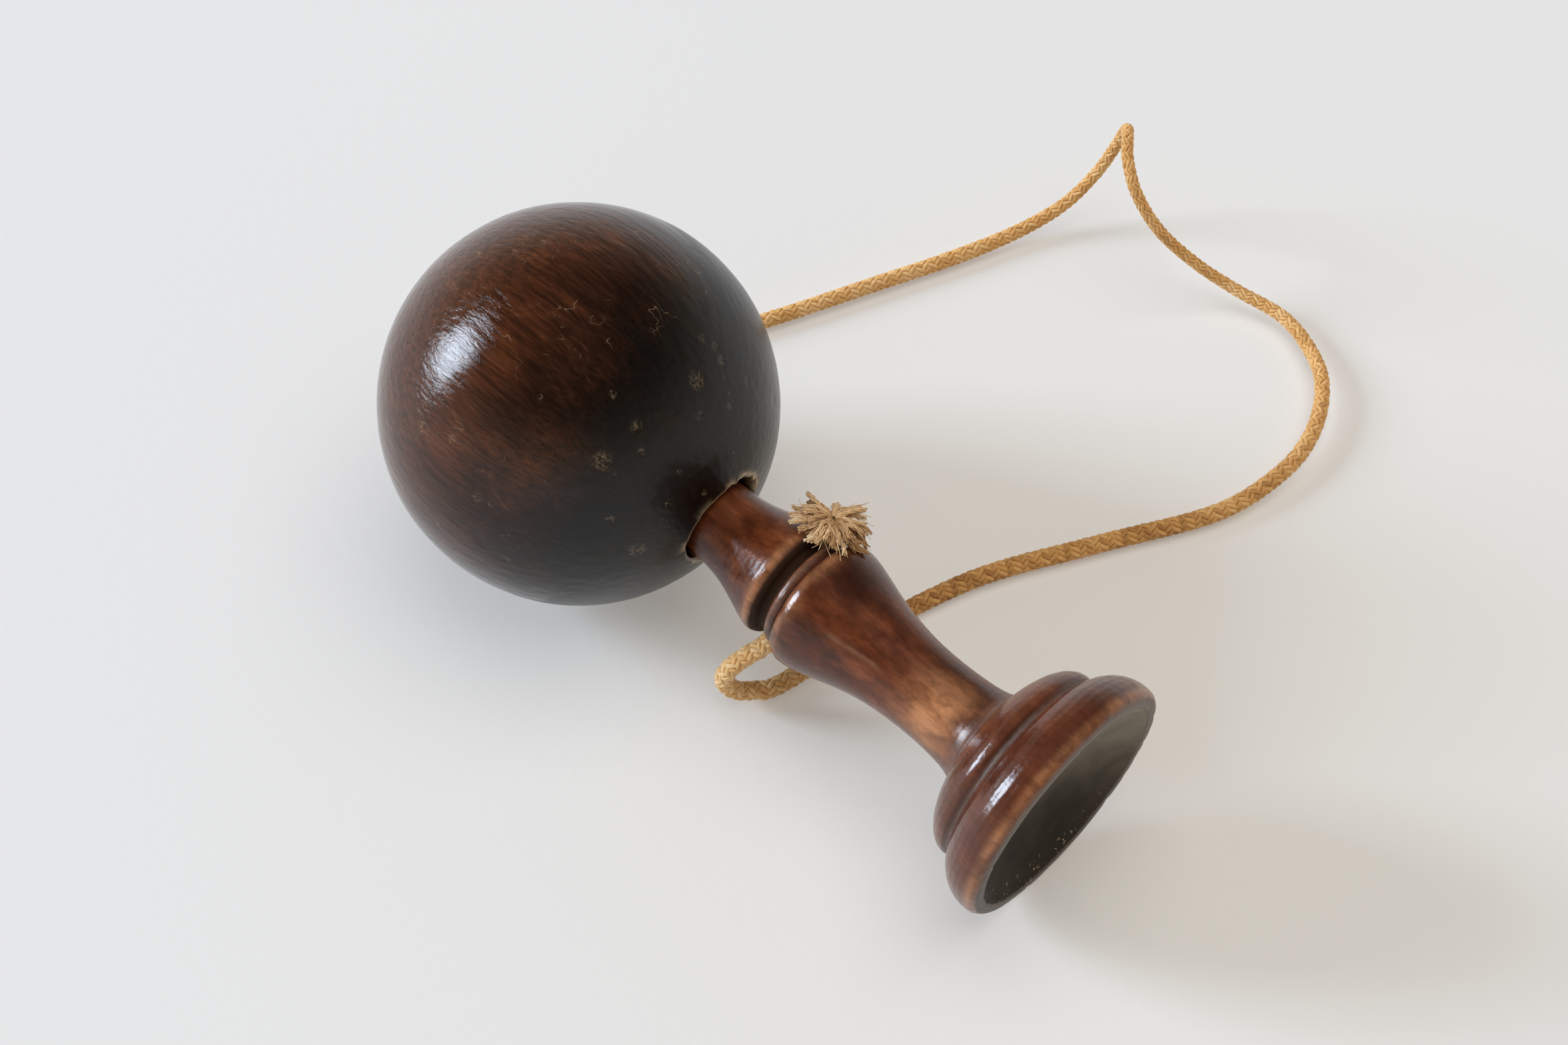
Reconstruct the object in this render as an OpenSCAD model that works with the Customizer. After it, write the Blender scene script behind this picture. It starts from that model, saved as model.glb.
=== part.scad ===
// Cup and ball toy lying on a table: a bored wooden ball pushed onto the spike of a turned handle,
// tied to it by a braided cord. Millimetres, +Z up, table at z = 0, origin under the middle of the wood.

/* [Ball] */
// Diameter of the ball
ball_d = 65; // [56:0.5:76]
// Diameter of the bore that drops onto the spike
bore_d = 15; // [14.4:0.1:17]
// Depth of the bore, measured from where the ball's surface would be
bore_depth = 44; // [40:0.5:50]
// Radius of the rounded mouth of the cord hole
mouth_r = 4.5; // [3:0.25:5]
// Width of the worn edge round the bore
bore_bevel = 0.5; // [0.2:0.1:1]

/* [Spike and neck] */
// Length of the spike, from its tip to the mouth of the bore
spike_len = 36; // [30:0.5:40]
// Diameter of the spike at the mouth of the bore
spike_d = 13.4; // [11:0.1:13.8]
// Diameter of the spike just behind its rounded tip
spike_tip_d = 10; // [7:0.1:11]
// Length of the rounded tip
spike_round = 3.5; // [2:0.25:5]
// Length of the flaring neck, from the bore's mouth to the collar
neck_len = 13.4; // [10:0.2:18]
// Diameter of the collar
collar_d = 20.6; // [18:0.1:23]
// Length of the rounded edge of the collar
collar_round = 2.2; // [1.5:0.1:3]

/* [Cord groove] */
// Width of the groove's floor
groove_w = 1.4; // [1.2:0.1:3]
// Diameter at the groove's floor
groove_d = 17.2; // [15:0.1:18]
// Lean of the groove's near wall, along the axis
wall_lean = 0.25; // [0.1:0.05:0.6]
// Height of the small round that stands on the groove's far side
quirk_h = 0.9; // [0.4:0.1:1.2]
// Length of that round
quirk_w = 2; // [1:0.05:2.6]
// Lean of the cross hole from upright, about the handle's axis
hole_lean = 35; // [0:1:60]

/* [Body] */
// Diameter of the shoulder
shoulder_d = 22.1; // [20.5:0.1:25]
// Length of the rounded shoulder
shoulder_len = 2.3; // [1.5:0.1:4]
// Length from the shoulder to the waist
taper_len = 22; // [16:0.5:30]
// Diameter of the waist
waist_d = 14; // [11:0.1:16]
// Length of the flare from the waist to the foot
flare_len = 11.6; // [8:0.2:16]
// Diameter of the flare where it meets the foot
flare_d = 17.6; // [15.5:0.1:20]

/* [Foot and cup] */
// Length of the step between the flare and the small bead
bead_step = 0.25; // [0.1:0.05:0.6]
// Diameter of the small bead
bead_d = 34.4; // [28:0.2:38]
// Length of the small bead
bead_w = 7; // [5.5:0.1:9]
// Depth of the cove between the beads, on the radius
notch_h = 0.6; // [0.3:0.1:1.2]
// Diameter of the large bead
foot_d = 42.9; // [38:0.1:50]
// Radius that the large bead is turned to
foot_round = 6.9; // [5.5:0.1:8]
// Distance from the crest of the large bead to the lip
crest_to_lip = 2.4; // [1.5:0.1:4]
// Width of the flat lip round the cup
lip_w = 2; // [1.4:0.1:3]
// Softened edge on each side of the lip
lip_edge = 0.3; // [0.1:0.05:0.5]
// Radius that the cup is dished to
cup_r = 34; // [30:0.5:60]

/* [Cord] */
// Diameter of the braided cord
cord_d = 3.2; // [2.4:0.1:3.4]
// Clearance of the cord in its holes, on the diameter
cord_clear = 0.4; // [0.2:0.05:0.8]
// Room left for the stop knot between the spike's tip and the end of the bore
knot_room = 7.6; // [7:0.1:10]
// Gap between the knot and the end of the bore
knot_gap = 0.2; // [0.1:0.05:0.5]
// Turns of the stop knot
knot_turns = 2; // [1:1:2]
// Length of cord that stands out of the groove before it frays
tuft_stem = 5.4; // [4.4:0.1:7]
// Lean of the frayed end from the cross hole towards upright
tuft_tilt = 18; // [0:1:25]
// Number of frayed strands
tuft_strands = 32; // [16:1:48]
// Length of the longest frayed strand
tuft_len = 7; // [5:0.1:9]
// Width of a strand at its root
strand_w = 1.5; // [0.9:0.05:1.7]

/* [Hidden] */
$fn = 96;

ball_r = ball_d / 2;
cord_r = cord_d / 2;
cord_hole_r = (cord_d + cord_clear) / 2;

// Stations along the handle's axis, measured from the centre of the ball towards the foot
bore_end = ball_r - bore_depth;
tip_z = bore_end + knot_room;
mouth_z = tip_z + spike_len;
collar_z = mouth_z + neck_len;
groove_z0 = collar_z + collar_round + wall_lean;
groove_z1 = groove_z0 + groove_w;
hole_z = (groove_z0 + groove_z1) / 2;
shoulder_z0 = groove_z1 + quirk_w;
shoulder_z = shoulder_z0 + shoulder_len;
waist_z = shoulder_z + taper_len;
flare_z = waist_z + flare_len;
bead_z0 = flare_z + bead_step;
bead_z1 = bead_z0 + bead_w;
foot_hub_r = foot_d / 2 - foot_round;
notch_r = bead_d / 2 - notch_h;
crest_z = bead_z1 + sqrt(pow(foot_round, 2) - pow(notch_r - foot_hub_r, 2));
cove_r = notch_r + notch_h / 4;
foot_a0 = 12 - acos((notch_r - foot_hub_r) / foot_round);
foot_start = [foot_hub_r, crest_z] + foot_round * [cos(foot_a0), sin(foot_a0)];
lip_z = crest_z + crest_to_lip;
lip_r1 = foot_hub_r + sqrt(pow(foot_round, 2) - pow(crest_to_lip - lip_edge, 2)) - lip_edge;
lip_r0 = lip_r1 - lip_w;
cup_rim_r = lip_r0 - lip_edge;
cup_centre = lip_z - lip_edge + sqrt(pow(cup_r, 2) - pow(cup_rim_r, 2));

// Ball and foot both touch the table, which sets the slope of the axis
slope = asin((ball_r - foot_round) / norm([crest_z, foot_hub_r])) - atan2(foot_hub_r, crest_z);
wood_x1 = max([for (p = handle_profile()) p[1] * cos(slope) + p[0] * sin(slope)]);
shift_x = (ball_r - wood_x1) / 2;

// Colours
dark_stain = [0.13, 0.08, 0.06];
red_stain = [0.42, 0.2, 0.1];
cotton = [0.71, 0.55, 0.34];

// Curves: points of a cubic curve, and of an arc given by centre, radius and angles
function cubic(a, b, c, d, steps) = [
    for (i = [1:steps])
        let (t = i / steps, u = 1 - t)
            a * u * u * u + b * 3 * t * u * u + c * 3 * t * t * u + d * t * t * t
];
function arc(centre, r, a0, a1, steps) = [
    for (i = [0:steps])
        let (w = a0 + (a1 - a0) * i / steps)
            centre + r * [cos(w), sin(w)]
];

// Half outline of the handle as [radius, station], from the spike's tip round to the cup's middle
function spike_part() = concat(
    [[0, tip_z]],
    [for (i = [1:6])
        [spike_tip_d / 2 * sin(15 * i), tip_z + spike_round * (1 - cos(15 * i))]],
    [[spike_d / 2, mouth_z]]
);
function neck_part() = concat(
    cubic([spike_d / 2, mouth_z], [spike_d / 2, mouth_z + neck_len * 0.42],
          [collar_d / 2 - 1.6, mouth_z + neck_len * 0.75], [collar_d / 2 - 0.1, collar_z], 10),
    cubic([collar_d / 2 - 0.1, collar_z], [collar_d / 2 + 0.2, collar_z + collar_round * 0.6],
          [collar_d / 2 - 0.1, collar_z + collar_round * 0.95],
          [collar_d / 2 - 0.8, collar_z + collar_round], 5)
);
function groove_part() = concat(
    [[groove_d / 2, groove_z0], [groove_d / 2, groove_z1]],
    cubic([groove_d / 2 + 0.1, groove_z1 + 0.02], [groove_d / 2 + quirk_h * 1.2, groove_z1 + 0.05],
          [groove_d / 2 + quirk_h * 1.5, groove_z1 + quirk_w * 0.75],
          [groove_d / 2 + quirk_h - 0.2, shoulder_z0], 6)
);
function body_part() = concat(
    cubic([groove_d / 2 + quirk_h - 0.2, shoulder_z0], [shoulder_d / 2 - 0.75, shoulder_z0],
          [shoulder_d / 2, shoulder_z - shoulder_len * 0.55], [shoulder_d / 2, shoulder_z], 6),
    cubic([shoulder_d / 2, shoulder_z], [shoulder_d / 2, shoulder_z + taper_len * 0.21],
          [waist_d / 2, shoulder_z + taper_len * 0.46], [waist_d / 2, waist_z], 14),
    cubic([waist_d / 2, waist_z], [waist_d / 2, waist_z + flare_len * 0.5],
          [waist_d / 2 + 0.3, flare_z - 1.2], [flare_d / 2, flare_z], 9)
);
function foot_part() = concat(
    [[flare_d / 2 - 0.2, bead_z0]],
    cubic([flare_d / 2 + 0.3, bead_z0 + 0.1], [bead_d / 2 - 4.2, bead_z0 + bead_w * 0.1],
          [bead_d / 2 - 0.1, bead_z0 + bead_w * 0.43], [bead_d / 2, bead_z1 - 1.3], 10),
    cubic([bead_d / 2, bead_z1 - 1.3], [bead_d / 2, bead_z1 - 0.85],
          [cove_r, bead_z1 - 0.8], [cove_r, bead_z1 - 0.3], 4),
    cubic([cove_r, bead_z1 - 0.3], [cove_r, bead_z1 + 0.1],
          foot_start - 0.7 * [-sin(foot_a0), cos(foot_a0)], foot_start, 4),
    arc([foot_hub_r, crest_z], foot_round, foot_a0 + 2, asin((crest_to_lip - lip_edge) / foot_round), 26),
    [[lip_r1, lip_z], [lip_r0, lip_z]]
);
function cup_part() = [
    for (i = [0:12])
        let (w = asin(cup_rim_r / cup_r) * (1 - i / 12))
            [cup_r * sin(w), cup_centre - cup_r * cos(w)]
];
function handle_profile() = concat(
    spike_part(), neck_part(), groove_part(), body_part(), foot_part(), cup_part());

// Lays the toy's axis on the slope that it rests at, with the ball on the table
module on_axis() {
    translate([shift_x, 0, ball_r])
        rotate([0, 90 + slope, 0])
            children();
}
// Turns +X to the way that the cross hole leaves the top of the groove
module along_hole() {
    translate([0, 0, hole_z])
        rotate([0, 0, 180 - hole_lean])
            children();
}
// The same two places for single points
function axis_to_table(p) = [
    shift_x - p[0] * sin(slope) + p[2] * cos(slope),
    p[1],
    ball_r - p[0] * cos(slope) - p[2] * sin(slope)
];
function hole_to_table(out) = axis_to_table([-out * cos(hole_lean), out * sin(hole_lean), hole_z]);

// Ball: the bore from one side, the cord's hole with a rounded mouth from the other
hole_mouth_z = -sqrt(pow(ball_r, 2) - pow(cord_hole_r + mouth_r, 2)) + mouth_r;
bore_rim_z = sqrt(pow(ball_r, 2) - pow(bore_d / 2, 2));
module ball() {
    color(dark_stain)
        on_axis()
            difference() {
                sphere(d = ball_d, $fn = 128);
                translate([0, 0, bore_end])
                    cylinder(d = bore_d, h = bore_depth + 1);
                translate([0, 0, bore_rim_z - bore_bevel])
                    cylinder(r1 = bore_d / 2, r2 = bore_d / 2 + bore_bevel * 4, h = bore_bevel * 4);
                translate([0, 0, -ball_r - 1])
                    cylinder(r = cord_hole_r, h = ball_d / 2 + 1);
                rotate_extrude()
                    mouth_outline();
            }
}
module mouth_outline() {
    polygon(concat(
        [[0, hole_mouth_z]],
        arc([cord_hole_r + mouth_r, hole_mouth_z], mouth_r, 180, 270, 10),
        [[cord_hole_r + mouth_r, -ball_r - 1], [0, -ball_r - 1]]
    ));
}

// Handle: one turned piece, cross drilled in the groove
module handle() {
    color(red_stain)
        on_axis()
            difference() {
                rotate_extrude()
                    polygon(handle_profile());
                along_hole()
                    rotate([0, 90, 0])
                        cylinder(r = cord_hole_r, h = shoulder_d * 2, center = true);
            }
}

// Cord end in the ball: the stop knot against the end of the bore, and the stretch in the cord's hole
knot_coil_r = cord_hole_r + cord_r * 0.55;
module cord_stop() {
    knot_z = bore_end + knot_gap + cord_r;
    color(cotton)
        on_axis() {
            translate([0, 0, hole_mouth_z])
                cylinder(r = cord_r, h = knot_z - hole_mouth_z + cord_d * (knot_turns - 1));
            for (i = [0:knot_turns - 1])
                translate([0, 0, knot_z + i * cord_d * 0.82])
                    rotate_extrude()
                        translate([knot_coil_r, 0])
                            circle(r = cord_r, $fn = 32);
        }
}

// Free cord: its route from the ball's far side, along the table, over an arch and under the handle
bend_r = cord_hole_r + mouth_r + 0.3;
drop_way = 151;
function bend_point(w) = axis_to_table([
    -bend_r * (1 - cos(w)) * cos(drop_way),
    bend_r * (1 - cos(w)) * sin(drop_way),
    hole_mouth_z - 0.1 - bend_r * sin(w)
]);
route = concat(
    [for (w = [0:30:90]) bend_point(w)],
    [
        [-71.4, 6, 25.5], [-72.3, 11.6, 15], [-70.4, 17, 6.2], [-65.5, 23, 2.2],
        [-54.6, 37, 1.7], [-45.8, 53.8, 1.7], [-37.3, 73.6, 1.7],
        [-31, 88.5, 1.7], [-26.5, 100.4, 2.3], [-23, 109.4, 5], [-20.5, 115.2, 10.5],
        [-18.6, 118, 17], [-16, 116.8, 23.6], [-13, 113, 26.5], [-9.8, 109.2, 25.7],
        [-5.6, 107.2, 21.4], [-0.4, 108.2, 15], [6, 111.6, 8.6], [12.9, 115, 4.2],
        [23, 116.6, 2.6], [32.8, 112.2, 2.7], [38.4, 106.4, 2.9], [42.4, 98, 2.8],
        [43.6, 88, 2.4], [40.6, 73.8, 1.8], [29.8, 54.5, 1.7], [19.5, 35.2, 1.7],
        [13.4, 14, 1.7], [10.2, -2.6, 1.7], [8.1, -6.4, 1.9], [6.6, -9.4, 3.7],
        [5.9, -11.2, 7.6], [7.2, -10.9, 12], [9.1, -9, 15.1]
    ],
    [hole_to_table(-groove_d / 2 - 3), hole_to_table(-groove_d / 2 + 0.4)]
);
ring_sides = 8;
steps_per_leg = 2;

function unit(v) = v / norm(v);
function leg_point(a, b, c, d, t) =
    0.5 * (2 * b + (c - a) * t + (2 * a - 5 * b + 4 * c - d) * t * t
           + (3 * b - a - 3 * c + d) * t * t * t);
function smooth(p) = concat(
    [for (i = [0:len(p) - 2])
        for (k = [0:steps_per_leg - 1])
            leg_point(p[max(i - 1, 0)], p[i], p[i + 1], p[min(i + 2, len(p) - 1)], k / steps_per_leg)],
    [p[len(p) - 1]]
);
// Way that the cord runs at each ring; the end rings stand square to the holes that they meet
function headings(p, first, last) = [
    for (i = [0:len(p) - 1])
        i == 0 ? first : i == len(p) - 1 ? last : unit(p[i + 1] - p[i - 1])
];
// Carries one sideways direction along the cord without twist
function sideways(h) = [
    for (i = 0, s = unit(cross(h[0], [0, 1, 0.2])); i < len(h);
         i = i + 1, s = i < len(h) ? unit(s - h[i] * (h[i] * s)) : s)
        s
];
module tube(path, first, last, r, sides) {
    heading = headings(path, first, last);
    side = sideways(heading);
    rings = len(path);
    points = [
        for (i = [0:rings - 1])
            for (k = [0:sides - 1])
                path[i] + r * (side[i] * cos(360 * k / sides) + cross(heading[i], side[i]) * sin(360 * k / sides))
    ];
    walls = [
        for (i = [0:rings - 2])
            for (k = [0:sides - 1])
                let (a = i * sides + k, b = i * sides + (k + 1) % sides)
                    each [[a, a + sides, b + sides], [a, b + sides, b]]
    ];
    caps = [
        [for (k = [0:sides - 1]) k],
        [for (k = [0:sides - 1]) rings * sides - 1 - k]
    ];
    polyhedron(points, concat(walls, caps), convexity = 10);
}
module cord() {
    color(cotton)
        tube(smooth(route), axis_to_table([0, 0, -1]) - axis_to_table([0, 0, 0]),
             hole_to_table(1) - hole_to_table(0), cord_r, ring_sides);
}

// Cord end in the handle: the stretch in the cross hole, and the tuft that it frays into
tuft_out = groove_d / 2 + tuft_stem;
golden_turn = 137.508;
module cord_tuft() {
    color(cotton)
        on_axis()
            along_hole() {
                rotate([0, 90, 0])
                    translate([0, 0, -groove_d / 2 + 0.5])
                        cylinder(r = cord_r, h = tuft_out + groove_d / 2 - 0.5);
                translate([tuft_out, 0, 0])
                    rotate([0, 0, tuft_tilt])
                        for (i = [0:tuft_strands - 1])
                            strand(i);
            }
}
// One strand leaves the cord's end, leans out and droops towards its tip
module strand(i) {
    spread = sqrt((i + 0.6) / tuft_strands);
    way = golden_turn * i;
    lean = 30 + 68 * spread;
    length = tuft_len * (0.78 + 0.22 * cos(71 * i));
    out = [0, cos(way), sin(way)];
    root = [-0.8, 0, 0] + out * (cord_r - strand_w * 0.5) * spread;
    knee = root + length * 0.45 * ([1, 0, 0] * cos(lean * 0.7) + out * sin(lean * 0.7));
    tip = knee + length * 0.6 * ([1, 0, 0] * cos(lean * 1.25) + out * sin(lean * 1.25));
    tapered(root, knee, tip, out);
}
module tapered(root, knee, tip, out) {
    across = cross([1, 0, 0], out) * strand_w / 2;
    rise = cross(unit(tip - root), unit(across)) * strand_w / 2;
    rings = [[root, 1], [knee, 0.95], [tip, 0.45]];
    points = [
        for (ring = rings)
            each [for (v = [across, rise, -across, -rise]) ring[0] + v * ring[1]]
    ];
    walls = [
        for (j = [0:1])
            for (k = [0:3])
                let (a = j * 4 + k, b = j * 4 + (k + 1) % 4)
                    each [[a, a + 4, b + 4], [a, b + 4, b]]
    ];
    polyhedron(points, concat(walls, [[0, 1, 2], [0, 2, 3], [11, 10, 9], [11, 9, 8]]));
}

ball();
handle();
cord_stop();
cord();
cord_tuft();
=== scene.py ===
import math
from collections import namedtuple

import bpy
import numpy as np
from mathutils import Matrix, Vector, noise


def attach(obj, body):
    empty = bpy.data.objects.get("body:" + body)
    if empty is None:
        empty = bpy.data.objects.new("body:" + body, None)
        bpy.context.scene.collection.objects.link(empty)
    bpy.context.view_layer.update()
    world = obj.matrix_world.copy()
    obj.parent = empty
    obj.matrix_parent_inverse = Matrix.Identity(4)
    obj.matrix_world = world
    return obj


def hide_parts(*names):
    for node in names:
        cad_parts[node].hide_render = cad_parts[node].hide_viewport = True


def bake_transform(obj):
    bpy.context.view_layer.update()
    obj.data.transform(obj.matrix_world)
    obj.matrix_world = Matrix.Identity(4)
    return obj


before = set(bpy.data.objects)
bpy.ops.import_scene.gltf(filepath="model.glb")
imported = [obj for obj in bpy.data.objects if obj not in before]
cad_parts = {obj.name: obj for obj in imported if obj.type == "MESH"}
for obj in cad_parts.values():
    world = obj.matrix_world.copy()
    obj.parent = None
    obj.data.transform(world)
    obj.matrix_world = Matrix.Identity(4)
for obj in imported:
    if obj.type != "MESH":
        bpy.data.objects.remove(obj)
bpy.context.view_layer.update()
scene = bpy.context.scene
scene.view_settings.view_transform = "Standard"
rng = np.random.default_rng(7)

MM = 0.001
TURN = 2 * math.pi
ANY_PHASE = (0, 6.3)


# Sizes of the part's source, in mm and radians

BALL_R = 32.5
BORE_R = 7.5
BORE_DEPTH = 44.0
MOUTH_R = 4.5
SPIKE_LEN = 36.0
SPIKE_R = 6.7
SPIKE_TIP_R = 5.0
SPIKE_ROUND = 3.5
NECK_LEN = 13.4
COLLAR_R = 10.3
COLLAR_ROUND = 2.2
GROOVE_W = 1.4
GROOVE_R = 8.6
WALL_LEAN = 0.25
QUIRK_H = 0.9
QUIRK_W = 2.0
HOLE_LEAN = math.radians(35)
SHOULDER_R = 11.05
SHOULDER_LEN = 2.3
TAPER_LEN = 22.0
WAIST_R = 7.0
FLARE_LEN = 11.6
FLARE_R = 8.8
BEAD_STEP = 0.25
BEAD_R = 17.2
BEAD_W = 7.0
NOTCH_H = 0.6
FOOT_R = 21.45
FOOT_ROUND = 6.9
CREST_TO_LIP = 2.4
LIP_W = 2.0
LIP_EDGE = 0.3
CUP_R = 34.0
CORD_R = 1.6
CORD_CLEAR = 0.2
KNOT_ROOM = 7.6
KNOT_GAP = 0.2
TUFT_STEM = 5.4

# Stations along the toy's axis, from the ball's middle to the foot, and radii that follow from the sizes
CORD_HOLE_R = CORD_R + CORD_CLEAR
MOUTH_Z = MOUTH_R - math.sqrt(BALL_R ** 2 - (CORD_HOLE_R + MOUTH_R) ** 2)
BORE_END = BALL_R - BORE_DEPTH
TIP_Z = BORE_END + KNOT_ROOM
NECK_Z = TIP_Z + SPIKE_LEN
COLLAR_Z = NECK_Z + NECK_LEN
GROOVE_Z0 = COLLAR_Z + COLLAR_ROUND + WALL_LEAN
GROOVE_Z1 = GROOVE_Z0 + GROOVE_W
HOLE_Z = (GROOVE_Z0 + GROOVE_Z1) / 2
SHOULDER_Z0 = GROOVE_Z1 + QUIRK_W
SHOULDER_Z = SHOULDER_Z0 + SHOULDER_LEN
WAIST_Z = SHOULDER_Z + TAPER_LEN
FLARE_Z = WAIST_Z + FLARE_LEN
BEAD_Z0 = FLARE_Z + BEAD_STEP
BEAD_Z1 = BEAD_Z0 + BEAD_W
HUB_R = FOOT_R - FOOT_ROUND
NOTCH_R = BEAD_R - NOTCH_H
CREST_Z = BEAD_Z1 + math.sqrt(FOOT_ROUND ** 2 - (NOTCH_R - HUB_R) ** 2)
LIP_Z = CREST_Z + CREST_TO_LIP
LIP_R1 = HUB_R + math.sqrt(FOOT_ROUND ** 2 - (CREST_TO_LIP - LIP_EDGE) ** 2) - LIP_EDGE
LIP_R0 = LIP_R1 - LIP_W
CUP_RIM_R = LIP_R0 - LIP_EDGE
CUP_CENTRE = LIP_Z - LIP_EDGE + math.sqrt(CUP_R ** 2 - CUP_RIM_R ** 2)
CUP_Z = CUP_CENTRE - CUP_R

# Slope at which ball and foot both touch the table, and where the ball's middle is then
SLOPE = math.radians(6.32608)
SHIFT_X = -36.3263

# Axis frame of the toy: local z runs from the ball to the foot, local x points down
AXIS_FRAME = Matrix((
    (-math.sin(SLOPE), 0, math.cos(SLOPE), SHIFT_X * MM),
    (0, 1, 0, 0),
    (-math.cos(SLOPE), 0, -math.sin(SLOPE), BALL_R * MM),
    (0, 0, 0, 1)))


def to_table(points):
    """Points in mm along the toy's axis, as points in mm on the table."""
    turn = np.array(AXIS_FRAME.to_3x3())
    return np.asarray(points, float) @ turn.T + np.array(AXIS_FRAME.translation) / MM


def hole_point(out):
    """Point of the cross hole at that distance from the toy's axis, in axis coordinates."""
    return [-out * math.cos(HOLE_LEAN), out * math.sin(HOLE_LEAN), HOLE_Z]


# Camera: sensor and lens in mm, place in m

SENSOR_W = 36
FOCAL_LEN = 68.85
CAMERA_PLACE = (0.2015, -0.2088, 0.4008)
CAMERA_WAY = (-0.4201, 0.4548, -0.7852)


def make_camera():
    lens = bpy.data.cameras.new("camera")
    lens.sensor_fit = "HORIZONTAL"
    lens.sensor_width = SENSOR_W
    lens.lens = FOCAL_LEN
    camera = bpy.data.objects.new("camera", lens)
    camera.location = CAMERA_PLACE
    camera.rotation_euler = Vector(CAMERA_WAY).to_track_quat("-Z", "Y").to_euler()
    scene.collection.objects.link(camera)
    scene.camera = camera


make_camera()


# Mesh helpers

def add_object(name, verts, faces, on_axis=False, values=None, sharp=None):
    """A smooth mesh object from points in mm, with named values at them and a sharp angle in degrees."""
    mesh = bpy.data.meshes.new(name)
    verts = to_table(verts) if on_axis else np.asarray(verts)
    mesh.from_pydata((verts * MM).tolist(), [], faces)
    for key, value in (values or {}).items():
        layer = mesh.attributes.new(key, "FLOAT", "POINT")
        layer.data.foreach_set("value", np.asarray(value, np.float32))
    mesh.shade_smooth()
    if sharp:
        mesh.set_sharp_from_angle(angle=math.radians(sharp))
    piece = bpy.data.objects.new(name, mesh)
    scene.collection.objects.link(piece)
    return piece


def wobble(points, scale, shift=0.0):
    """Smooth noise from about -1 to 1 at each point; scale is a number or one per axis."""
    places = np.asarray(points) * np.asarray(scale) + shift
    return np.array([noise.noise(p) for p in places.tolist()])


def band(x, centre, width):
    """1 at the centre, fading to nothing over about twice the width to either side."""
    return np.exp(-((x - centre) / width) ** 2)


def rise(x, start, length):
    """0 up to the start, then rising to 1 over the length."""
    return np.clip((x - start) / length, 0, 1)


def near(angle, centre, width):
    """1 at that angle in degrees, fading to 0 at the width to either side."""
    off = np.abs((np.degrees(angle) - centre + 180) % 360 - 180) / width
    return np.clip(1 - off ** 2, 0, 1)


def unit(v):
    """Vectors at length 1."""
    return v / np.linalg.norm(v, axis=-1, keepdims=True)


def cubic(a, b, c, d, steps):
    """Points of a cubic curve with end points a and d, without its first one."""
    t = np.arange(1, steps + 1)[:, None] / steps
    a, b, c, d = map(np.array, (a, b, c, d))
    return ((1 - t) ** 3 * a + 3 * (1 - t) ** 2 * t * b + 3 * (1 - t) * t ** 2 * c + t ** 3 * d).tolist()


def arc(centre, r, start, end, steps):
    """Points of an arc between two angles in radians."""
    return [[centre[0] + r * math.cos(w), centre[1] + r * math.sin(w)]
            for w in np.linspace(start, end, steps + 1)]


def along(points):
    """Length along a row of points, from its first."""
    return np.concatenate([[0], np.cumsum(np.linalg.norm(np.diff(points, axis=0), axis=1))])


def resample(points, gap):
    """The row of points at even steps of about that length."""
    points = np.asarray(points, float)
    s = along(points)
    places = np.linspace(0, s[-1], max(2, round(s[-1] / gap) + 1))
    return np.stack([np.interp(places, s, points[:, k]) for k in range(points.shape[1])], axis=1)


def spline(points, steps=24):
    """Smooth curve through the points."""
    p = np.asarray(points, float)
    p = np.vstack([2 * p[0] - p[1], p, 2 * p[-1] - p[-2]])
    t = np.linspace(0, 1, steps, endpoint=False)[:, None]
    legs = []
    for a, b, c, d in zip(p[:-3], p[1:-2], p[2:-1], p[3:]):
        legs.append(0.5 * (2 * b + (c - a) * t + (2 * a - 5 * b + 4 * c - d) * t ** 2
                           + (3 * b - a - 3 * c + d) * t ** 3))
    return np.vstack(legs + [p[-2:-1]])


def carried_frame(path, first=(0, 1, 0.2)):
    """Two directions across the path at each point, carried along without twist."""
    heading = unit(np.gradient(path, axis=0))
    side = np.empty_like(path)
    last = np.cross(heading[0], first)
    for i, h in enumerate(heading):
        last = last - h * (h @ last)
        last = last / np.linalg.norm(last)
        side[i] = last
    return side, np.cross(heading, side)


def tube(path, across, up, half_w, half_t, sides):
    """Points and faces of a closed oval tube round a path."""
    w = np.linspace(0, TURN, sides, endpoint=False)
    half_w = np.broadcast_to(half_w, len(path))[:, None, None]
    half_t = np.broadcast_to(half_t, len(path))[:, None, None]
    verts = (path[:, None] + half_w * np.cos(w)[None, :, None] * across[:, None]
             + half_t * np.sin(w)[None, :, None] * up[:, None]).reshape(-1, 3)
    i, k = np.meshgrid(np.arange(len(path) - 1), np.arange(sides), indexing="ij")
    a = i * sides + k
    b = i * sides + (k + 1) % sides
    walls = np.stack([a, b, b + sides, a + sides], axis=-1).reshape(-1, 4).tolist()
    end = (len(path) - 1) * sides
    return verts, walls + [list(range(sides))[::-1], list(range(end, end + sides))]


class Pile:
    """Collects closed shells into one mesh, with the tone of each."""

    def __init__(self):
        self.verts = []
        self.faces = []
        self.tones = []
        self.count = 0

    def add(self, verts, faces, tone):
        self.faces += [[v + self.count for v in f] for f in faces]
        self.verts.append(verts)
        self.tones.append(np.broadcast_to(tone, len(verts)))
        self.count += len(verts)

    def piece(self, name, **more):
        values = {"tone": np.concatenate(self.tones)}
        return add_object(name, np.vstack(self.verts), self.faces, values=values, **more)


# Braided cord: eight strands each way round, two over and two under; lengths and radii in mm

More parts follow.
